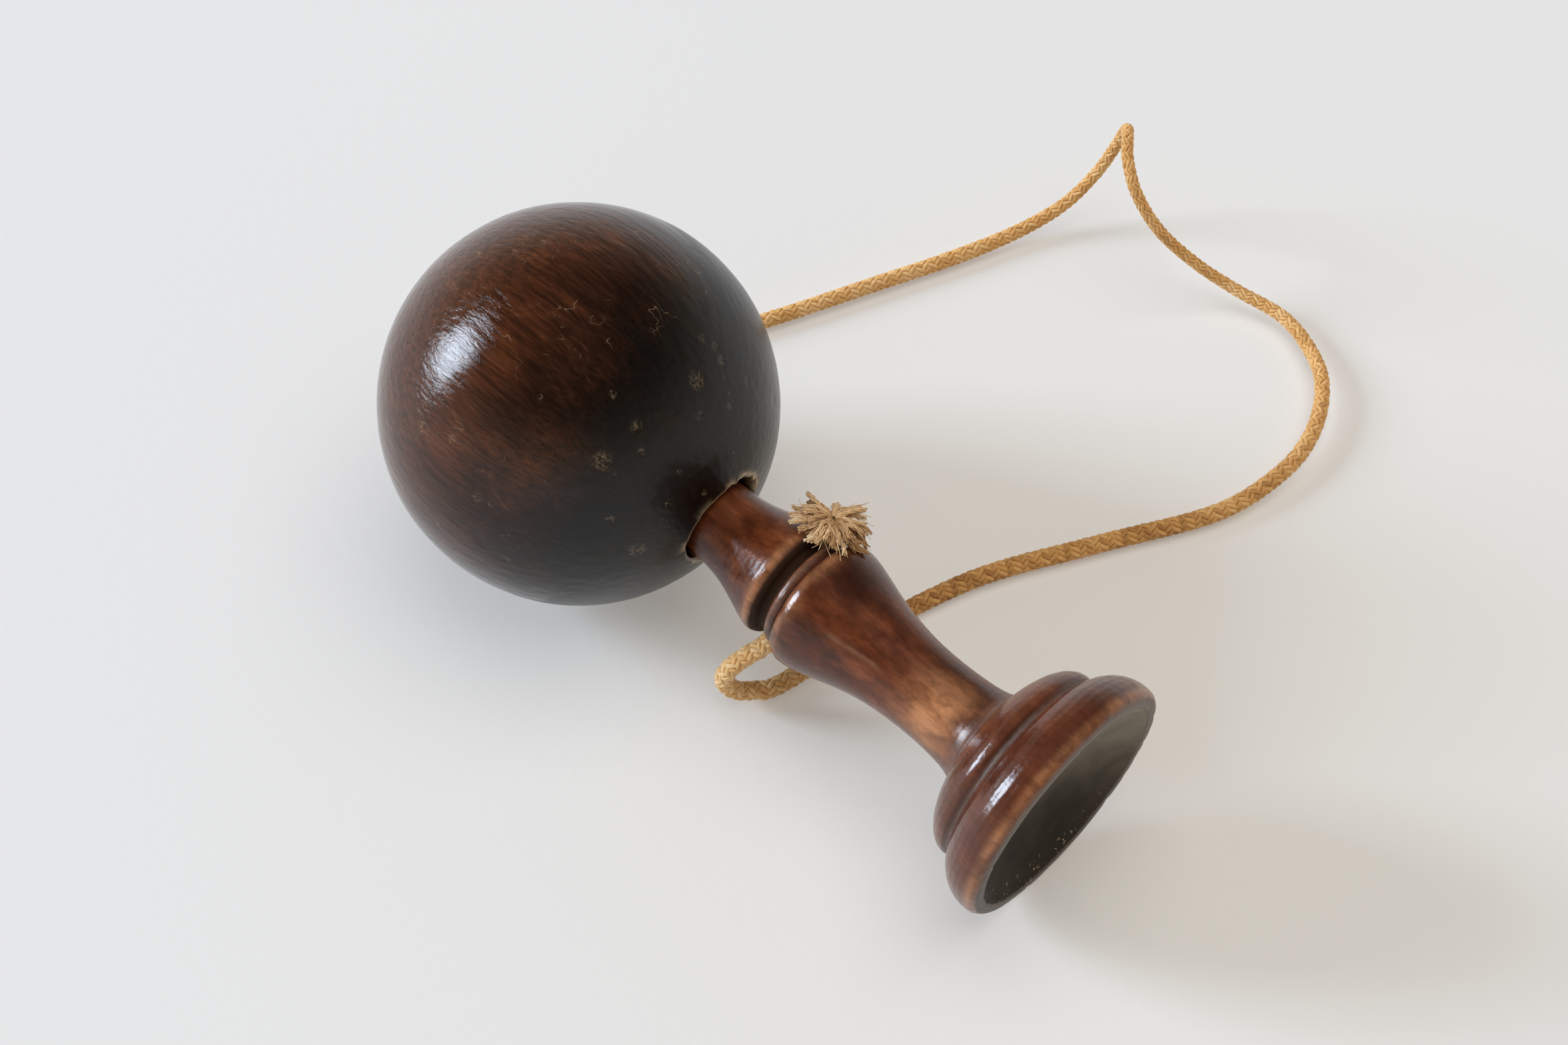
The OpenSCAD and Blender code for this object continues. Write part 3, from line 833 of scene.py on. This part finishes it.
def shape_ball(skin):
    """Grain ridges, dents, the torn rim of the bore, and where the wood is scuffed or bare."""
    points = skin.points
    outside = np.linalg.norm(points, axis=1) > BALL_R - 0.3
    grain = wobble(points, (0.85, 0.85, 0.1), 2.0)
    coarse = wobble(points, 0.07, 6.0)
    move = outside * (GRAIN_RIDGES * grain + OUT_OF_ROUND * coarse)
    scuff = np.zeros(len(points))

    # Dents, scuffed where they are deep, then specks and scuffs
    for _ in range(DENTS):
        way = unit(rng.normal(0, 1, 3)) * BALL_R
        size = rng.uniform(*DENT_SIZES)
        deep = rng.uniform(*DENT_DEPTHS)
        dent = np.clip(1 - np.linalg.norm((points - way) / size, axis=1) ** 2, 0, 1) ** 2
        move -= dent * deep
        scuff = np.maximum(scuff, dent * (deep > SCUFFED_FROM))
    for *way, size in BALL_MARKS:
        off = np.linalg.norm(points - unit(np.array(way)) * BALL_R, axis=1) / size
        mark = np.clip(1.3 - off ** 2, 0, 1)
        move -= mark * MARK_DEPTH
        scuff = np.maximum(scuff, mark)

    # Chips torn out of the bore's rim, and the worn line along it
    rim = along(skin.rows)[OUTSIDE_ROWS]
    jag = 0.8 + 0.55 * wobble(points, 0.9, 4.4)
    bite = sum(near(skin.angle, at, width) ** 0.6 * deep for at, width, deep in CHIPS)
    bite = bite * jag * band(skin.place, rim, 1.15)
    out = np.stack([np.cos(skin.angle), np.sin(skin.angle), np.full(len(points), -0.45)], axis=1)
    moves = skin.normals * move[:, None] + out * bite[:, None]
    line = band(skin.place, rim, 0.3) * np.clip(0.75 + 0.9 * wobble(points, 0.35, 8.2), 0, 1)
    on_ball = np.hypot(points[:, 0], points[:, 1]) > BORE_R
    return moves, {"bare": np.clip(bite / 0.3 + line, 0, 1), "scuff": scuff * on_ball}


ball = turned("ball_turned", ball_profile(), BALL_SEGMENTS, True, shape_ball)


# Materials

# Sockets of a colour mix: factor, two colours and result
MIX_FAC, MIX_A, MIX_B, MIX_RESULT = 0, 6, 7, 2


class Shader:
    """The node tree of a material or of the world."""

    def __init__(self, owner):
        self.owner = owner
        owner.use_nodes = True
        self.tree = owner.node_tree
        self.tree.nodes.clear()

    def fill(self, socket, value):
        """Links an output to the socket, or sets a constant on it."""
        if isinstance(value, bpy.types.NodeSocket):
            self.tree.links.new(value, socket)
        else:
            socket.default_value = value

    def add(self, kind, inputs=None, out=0, **settings):
        """One output of a new node with these inputs and settings."""
        made = self.tree.nodes.new("ShaderNode" + kind)
        for key, value in settings.items():
            setattr(made, key, value)
        for key, value in (inputs or {}).items():
            self.fill(made.inputs[key], value)
        return made.outputs[out]

    def place(self, scale):
        """Place along the toy's axis in mm, times the scale of each axis."""
        where = self.add("TexCoord", out="Object")
        frame_inputs = {"Location": AXIS_FRAME.translation, "Rotation": AXIS_FRAME.to_euler()}
        along_axis = self.add("Mapping", {"Vector": where, **frame_inputs}, vector_type="TEXTURE")
        return self.add("Mapping", {"Vector": along_axis, "Scale": [s / MM for s in scale]})

    def noise(self, scale, detail=3.0, rough=0.55, warp=0.0):
        """Noise with so many waves per mm, the same along each axis or one number for each."""
        scale = (scale,) * 3 if isinstance(scale, (int, float)) else scale
        return self.add("TexNoise", {"Vector": self.place(scale), "Scale": 1.0, "Detail": detail,
                                     "Roughness": rough, "Distortion": warp}, out="Fac")

    def value(self, name):
        """A named value of the mesh."""
        return self.add("Attribute", attribute_name=name, out="Fac")

    def ray(self, kind):
        """1 where a ray of that kind meets the surface, otherwise 0."""
        return self.add("LightPath", out=f"Is {kind} Ray")

    def ramp(self, fac, *stops):
        """Colours or grey levels at places from 0 to 1."""
        made = self.tree.nodes.new("ShaderNodeValToRGB")
        self.fill(made.inputs["Fac"], fac)
        points = made.color_ramp.elements
        while len(points) < len(stops):
            points.new(0.5)
        for point, (at, colour) in zip(points, stops):
            point.position = at
            level = (colour,) * 3 if isinstance(colour, (int, float)) else colour
            point.color = (*level, 1)
        return made.outputs["Color"]

    def mix(self, fac, a, b, kind="MIX"):
        made = self.tree.nodes.new("ShaderNodeMix")
        made.data_type = "RGBA"
        made.blend_type = kind
        self.fill(made.inputs[MIX_FAC], fac)
        for socket, colour in ((MIX_A, a), (MIX_B, b)):
            self.fill(made.inputs[socket], (*colour, 1) if isinstance(colour, tuple) else colour)
        return made.outputs[MIX_RESULT]

    def shaded(self, base, fac, *stops):
        """The base colour times grey levels at places from 0 to 1."""
        return self.mix(1.0, base, self.ramp(fac, *stops), "MULTIPLY")

    def level(self, value, span, to=(0.0, 1.0)):
        """The value's place in the span, eased, as a number between the two ends it goes to."""
        return self.add("MapRange", {"Value": value, "From Min": span[0], "From Max": span[1],
                                     "To Min": to[0], "To Max": to[1]}, interpolation_type="SMOOTHSTEP")

    def math(self, operation, a, b=0.0):
        return self.add("Math", {0: a, 1: b}, operation=operation)

    def plus(self, a, b):
        return self.math("ADD", a, b)

    def times(self, a, b):
        return self.math("MULTIPLY", a, b)

    def most(self, first, *others):
        """The largest of the values."""
        for other in others:
            first = self.math("MAXIMUM", first, other)
        return first

    def bump(self, height, depth, **under):
        """Bumps of that depth in mm, on top of the normal under them."""
        return self.add("Bump", {"Height": height, "Distance": depth * MM, "Strength": 1.0, **under})

    def surface(self, **inputs):
        """The look of wood, cotton or paper."""
        return self.add("BsdfPrincipled", {key.replace("_", " "): value for key, value in inputs.items()})

    def finish(self, shader):
        """Shows the shader on its owner."""
        kind = "World" if isinstance(self.owner, bpy.types.World) else "Material"
        output = self.tree.nodes.new("ShaderNodeOutput" + kind)
        self.tree.links.new(shader, output.inputs["Surface"])
        return self.owner


# Ball: almost black stain that turns red-brown towards the side away from the bore
BALL_BLACK = (0.0045, 0.0031, 0.0023)
BALL_RED = (0.066, 0.0195, 0.0075)
BALL_GLOW = (0.13, 0.042, 0.014)
BALL_SCUFF = (0.30, 0.22, 0.13)
BALL_BARE = (0.56, 0.43, 0.27)
RED_WAY = (-0.30, -0.40, -0.87)


def ball_wood():
    m = Shader(bpy.data.materials.new("ball_wood"))
    streak = m.noise((1.5, 1.5, 0.1), detail=4, rough=0.6, warp=0.3)
    fine = m.noise((4.5, 4.5, 0.4), rough=0.6)
    cloud = m.noise(0.05, rough=0.5)
    patch = m.noise((0.15, 0.15, 0.07), detail=4, rough=0.6, warp=0.6)
    away = m.add("VectorMath", {0: m.place((1, 1, 1)), 1: RED_WAY}, out="Value", operation="DOT_PRODUCT")
    red = m.level(m.plus(m.plus(m.times(away, 0.045), m.times(cloud, 1.7)), patch), (0.9, 2.4))
    glow = m.times(m.level(patch, (0.52, 0.72)), m.level(red, (0.35, 0.9)))
    base = m.mix(red, BALL_BLACK, BALL_RED)
    base = m.mix(m.times(glow, 0.42), base, BALL_GLOW)
    base = m.shaded(base, streak, (0.36, 0.58), (0.5, 0.96), (0.66, 1.42))
    base = m.shaded(base, fine, (0.3, 0.74), (0.7, 1.26))

    # Specks, scratches, scuffs and bare wood
    cells = m.add("TexVoronoi", {"Vector": m.place((0.1, 0.1, 0.085)), "Scale": 1.0}, out="Distance")
    worn = m.level(m.noise(0.06, detail=2, rough=0.5), (0.5, 0.58))
    broken = m.noise((2.0, 2.0, 1.4), detail=4, rough=0.8)
    specks = m.times(m.times(m.level(cells, (0.12, 0.05)), worn), m.level(broken, (0.56, 0.63)))
    crack = m.noise((0.2, 0.26, 0.12), detail=2, rough=0.5, warp=0.4)
    crack = m.level(m.math("ABSOLUTE", m.math("SUBTRACT", crack, 0.5)), (0.0035, 0.001))
    scratch = m.times(crack, m.level(patch, (0.54, 0.62)))
    scuff = m.times(m.value("scuff"), m.level(broken, (0.46, 0.64), (0.0, 0.55)))
    pale = m.most(specks, m.times(scratch, 0.5), scuff)
    bare = m.times(m.value("bare"), m.level(fine, (0.25, 0.6), (0.5, 1.0)))
    base = m.mix(pale, base, BALL_SCUFF)
    base = m.mix(bare, base, BALL_BARE)

    # Polish and relief
    gloss = m.level(m.plus(cloud, streak), (0.7, 1.3), (0.06, 0.13))
    gloss = m.level(red, (0.02, 0.22), (0.3, gloss))
    gloss = m.level(pale, (0.0, 1.0), (gloss, 0.7))
    ridges = m.noise((1.4, 1.4, 0.17), detail=4, rough=0.6, warp=0.4)
    ridges = m.times(ridges, m.level(red, (0.1, 0.75), (0.3, 1.0)))
    normal = m.bump(fine, 0.02, Normal=m.bump(ridges, 0.11))
    return m.finish(m.surface(Base_Color=base, Roughness=gloss, Normal=normal, Coat_Weight=0.08,
                              Coat_Roughness=0.1, Specular_IOR_Level=0.34))


# Handle: red-brown polish, worn pale on the ridges, grey in the hollows, and worn dull in the groove and the
# cup, with painted shade in the groove and on the quirk, a painted sheen on the waist, and painted light and
# shade across the cup and lip
HANDLE_TONES = (
    (0.36, (0.040, 0.0093, 0.0038)), (0.5, (0.114, 0.0275, 0.0098)), (0.66, (0.228, 0.0635, 0.020)))
HANDLE_FOOT = (0.104, 0.030, 0.0152)
HANDLE_RUB_AND_SHEEN = (0.56, 0.248, 0.108)
HANDLE_STAIN = (0.030, 0.0105, 0.006)
HANDLE_MARK = (0.44, 0.26, 0.17)
# Near-black painted shade for the groove
HANDLE_GROOVE_SHADE = (0.034, 0.0165, 0.0098)
HANDLE_BARE = (0.42, 0.34, 0.24)
GRIME_TONES = ((0.35, (0.07, 0.047, 0.037)), (0.72, (0.135, 0.098, 0.078)))
# Grey cup and lip, darker and lighter as painted shade and painted light
CUP_SHADED_TONES = ((0.35, (0.028, 0.0225, 0.016)), (0.7, (0.046, 0.037, 0.027)))
CUP_LIT_TONES = ((0.35, (0.215, 0.192, 0.15)), (0.7, (0.32, 0.285, 0.226)))
LIP_SHADED = (0.10, 0.080, 0.065)
LIP_LIT = (0.157, 0.126, 0.101)


def handle_wood(name, **sheen):
    m = Shader(bpy.data.materials.new(name))
    streak = m.noise((0.9, 0.9, 0.07), warp=0.1)
    mottle = m.noise((0.42, 0.42, 0.24), warp=0.2)
    cloud = m.noise((0.08, 0.08, 0.05), rough=0.45, warp=0.2)
    fleck = m.noise((2.2, 2.2, 0.35), detail=4, rough=0.65, warp=0.2)
    # Pale worn wood, and on the waist also a painted sheen
    rub_and_sheen = m.times(m.value("rubbed_and_sheen"), m.level(mottle, (0.36, 0.57), (0.5, 1.0)))
    base = m.ramp(m.plus(m.times(cloud, 0.65), m.times(mottle, 0.35)), *HANDLE_TONES)
    base = m.shaded(base, streak, (0.34, 0.77), (0.52, 0.98), (0.7, 1.21))
    base = m.mix(m.times(m.value("foot"), 0.55), base, HANDLE_FOOT)
    base = m.mix(rub_and_sheen, base, HANDLE_RUB_AND_SHEEN)
    base = m.shaded(base, fleck, (0.34, 0.83), (0.5, 1.0), (0.68, 1.13))
    base = m.mix(m.times(m.value("stain"), 0.7), base, HANDLE_STAIN)
    base = m.mix(m.times(m.value("mark"), 0.28), base, HANDLE_MARK)
    # Grey-brown grime in the hollows, and painted shade on the quirk bead
    base = m.mix(m.times(m.value("grime_and_shade"), 0.8), base, m.ramp(m.noise(0.6, rough=0.6), *GRIME_TONES))

    # Cup, lip and groove, with painted light and shade across the cup and lip
    worn = m.noise(0.16, detail=4, rough=0.5, warp=0.4)
    top = m.value("cup_light_side")
    cup = m.mix(m.level(top, (0.2, 0.92)), m.ramp(worn, *CUP_SHADED_TONES), m.ramp(worn, *CUP_LIT_TONES))
    lip = m.mix(m.level(top, (0.1, 0.9)), LIP_SHADED, LIP_LIT)
    bare = m.times(m.value("bare"), m.level(m.noise(1.3, rough=0.7), (0.62, 0.66)))
    base = m.mix(m.value("dish"), base, cup)
    base = m.mix(m.value("lip"), base, lip)
    # Near-black painted shade in the groove and on the collar's flank down into it
    base = m.mix(m.value("groove"), base, HANDLE_GROOVE_SHADE)
    base = m.mix(bare, base, HANDLE_BARE)

    # Polish and relief
    dull = m.most(m.value("groove"), m.value("grime_and_shade"), m.value("dish"), m.value("lip"))
    gloss = m.level(m.plus(cloud, mottle), (0.7, 1.3), (0.17, 0.27))
    gloss = m.level(dull, (0.0, 1.0), (gloss, 0.6))
    ridges = m.bump(m.noise((0.45, 0.45, 0.25), rough=0.5), 0.11)
    normal = m.bump(m.noise(1.1, detail=2, rough=0.5), 0.035, Normal=ridges)
    return m.finish(m.surface(Base_Color=base, Roughness=gloss, Normal=normal, **sheen))


# Cotton: colours of its core and darkest yarns, its mid and light yarns, and its palest fibres;
# the core in the braid's gaps is toned darker still, as painted shade
CORD_COTTON = ((0.38, 0.170, 0.047), (0.74, 0.405, 0.130), (0.90, 0.60, 0.28), (0.92, 0.73, 0.48))
TUFT_COTTON = ((0.50, 0.275, 0.115), (0.81, 0.545, 0.29), (0.94, 0.77, 0.52), (0.97, 0.86, 0.66))
COTTON_SHEEN = (0.95, 0.85, 0.68, 1)


def cotton(name, dark, mid, light, pale):
    m = Shader(bpy.data.materials.new(name))
    stain = m.noise(0.05)
    fibre = m.noise(2.6, detail=4, rough=0.65)
    shade = m.plus(m.times(m.value("tone"), 0.45), m.times(fibre, 0.4))
    shade = m.plus(shade, m.times(m.math("SUBTRACT", stain, 0.5), 0.7))
    # Painted shade: the core in the braid's gaps goes darker than any yarn
    gap_shade = tuple(0.3 * c for c in dark)
    base = m.ramp(shade, (0.0, gap_shade), (0.2, dark), (0.5, mid), (0.78, light), (1.0, pale))
    normal = m.bump(m.noise(5.5, rough=0.6), 0.05)
    return m.finish(m.surface(Base_Color=base, Roughness=0.88, Normal=normal, Sheen_Weight=0.25,
                              Sheen_Roughness=0.5, Sheen_Tint=COTTON_SHEEN))


def paint(piece, slot, *materials):
    piece.data.materials.clear()
    for material in materials:
        piece.data.materials.append(material)


cord_cotton = cotton("cord_cotton", *CORD_COTTON)
paint(ball, "ball_wood", ball_wood())
paint(handle, "handle_wood",
      handle_wood("handle_wood", Specular_IOR_Level=0.42, Coat_Weight=0.12, Coat_Roughness=0.18),
      handle_wood("handle_dull", Specular_IOR_Level=0.1))
centres = np.array([face.center for face in handle.data.polygons])
handle.data.polygons.foreach_set("material_index", is_dull(centres).astype(np.int32))
paint(cord, "cord", cord_cotton)
paint(knot, "cord", cord_cotton)
paint(tuft, "cord", cotton("tuft_cotton", *TUFT_COTTON))


# What each piece moves with

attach(ball, "ball")
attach(handle, "handle")
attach(tuft, "handle")
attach(knot, "cord_end")
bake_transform(cord)
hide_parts("ball")
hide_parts("handle")
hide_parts("cord_tuft")
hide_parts("cord_stop")
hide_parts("cord")


# Floor, light and background, in m

BACKDROP = (0.79, 0.797, 0.806)
ROOM_LIGHT = (1.0, 0.89, 0.75)
WINDOW_LIGHT = (0.73, 0.85, 1.0)
CEILING_LIGHT = (1.0, 0.955, 0.9)
PAPER_TONES = ((0.3, (0.81, 0.81, 0.81)), (0.7, (0.83, 0.83, 0.825)))
# Warm painted shadow tint of the floor round the toy, and the cool white further out
SHADOW_TINT_WHITE = (0.93, 0.865, 0.77)
COOL_WHITE = (0.88, 0.89, 0.915)
OWN_WHITE = 0.26
FLOOR_MIDDLE = (0.05, 0.04, 0)
NEAR_FLOOR = (0.02, 0.17)
FAR_FLOOR = (0.35, 1.5)
FLOOR_REACH = 4
FLOOR_Z = -0.0002


def floor_paint():
    """Pale paper that keeps its shadows, and part of whose white shows whatever the light; round the toy that
    white is tinted warm, as a painted shadow tint.
    """
    m = Shader(bpy.data.materials.new("floor_paint"))
    base = m.ramp(m.noise(0.004, detail=2, rough=0.5), *PAPER_TONES)
    lit = m.surface(Base_Color=base, Roughness=0.7, Normal=m.bump(m.noise(0.5, rough=0.6), 0.04))
    where = m.add("TexCoord", out="Object")
    off = m.add("VectorMath", {0: where, 1: FLOOR_MIDDLE}, out="Value", operation="DISTANCE")
    # Warm painted shadow tint round the toy, fading to cool white further out
    colour = m.mix(m.level(off, NEAR_FLOOR), SHADOW_TINT_WHITE, COOL_WHITE)
    colour = m.mix(m.level(off, FAR_FLOOR), colour, BACKDROP)
    white = m.add("Emission", {"Color": colour, "Strength": 1.0})
    seen = m.most(m.ray("Camera"), m.ray("Glossy"), m.ray("Transmission"))
    share = m.times(seen, m.level(off, FAR_FLOOR, (OWN_WHITE, 1.0)))
    return m.finish(m.add("MixShader", {0: share, 1: lit, 2: white}))


def make_floor():
    mesh = bpy.data.meshes.new("floor")
    corners = [(FLOOR_REACH * x, FLOOR_REACH * y, FLOOR_Z) for x, y in ((-1, -1), (1, -1), (1, 1), (-1, 1))]
    mesh.from_pydata(corners, [], [(0, 1, 2, 3)])
    mesh.materials.append(floor_paint())
    floor = bpy.data.objects.new("floor", mesh)
    scene.collection.objects.link(floor)


def make_world():
    """Warm light from low down that fades overhead; where it shows by itself it is the plain backdrop."""
    scene.world = bpy.data.worlds.new("room")
    m = Shader(scene.world)
    height = m.add("SeparateXYZ", {0: m.add("TexCoord", out="Generated")}, out="Z")
    fade = m.level(height, (0.0, 0.8), (0.75, 0.08))
    room = m.add("Background", {"Color": (*ROOM_LIGHT, 1), "Strength": fade})
    plain = m.add("Background", {"Color": (*BACKDROP, 1), "Strength": 1.0})
    low = m.level(height, (0.0, 0.25), (1.0, 0.0))
    mirrored = m.times(m.most(m.ray("Glossy"), m.ray("Transmission")), low)
    seen = m.most(m.ray("Camera"), mirrored)
    m.finish(m.add("MixShader", {0: seen, 1: room, 2: plain}))


def area_lamp(name, way, distance, size, watts, colour, in_gloss=True):
    """A lamp that shines on the toy from that way."""
    lamp = bpy.data.lights.new(name, "AREA")
    lamp.shape = "RECTANGLE"
    lamp.size, lamp.size_y = size
    lamp.energy = watts
    lamp.color = colour
    holder = bpy.data.objects.new(name, lamp)
    way = Vector(way).normalized()
    holder.location = way * distance
    holder.rotation_euler = (-way).to_track_quat("-Z", "Y").to_euler()
    holder.visible_glossy = in_gloss
    scene.collection.objects.link(holder)


make_floor()
make_world()
area_lamp("window", (-0.76, -0.50, 0.40), distance=4.5, size=(1.4, 1.75), watts=195, colour=WINDOW_LIGHT)
area_lamp("ceiling", (0.1, 0.1, 1.0), distance=2.0, size=(2.0, 2.0), watts=23.5, colour=CEILING_LIGHT,
          in_gloss=False)
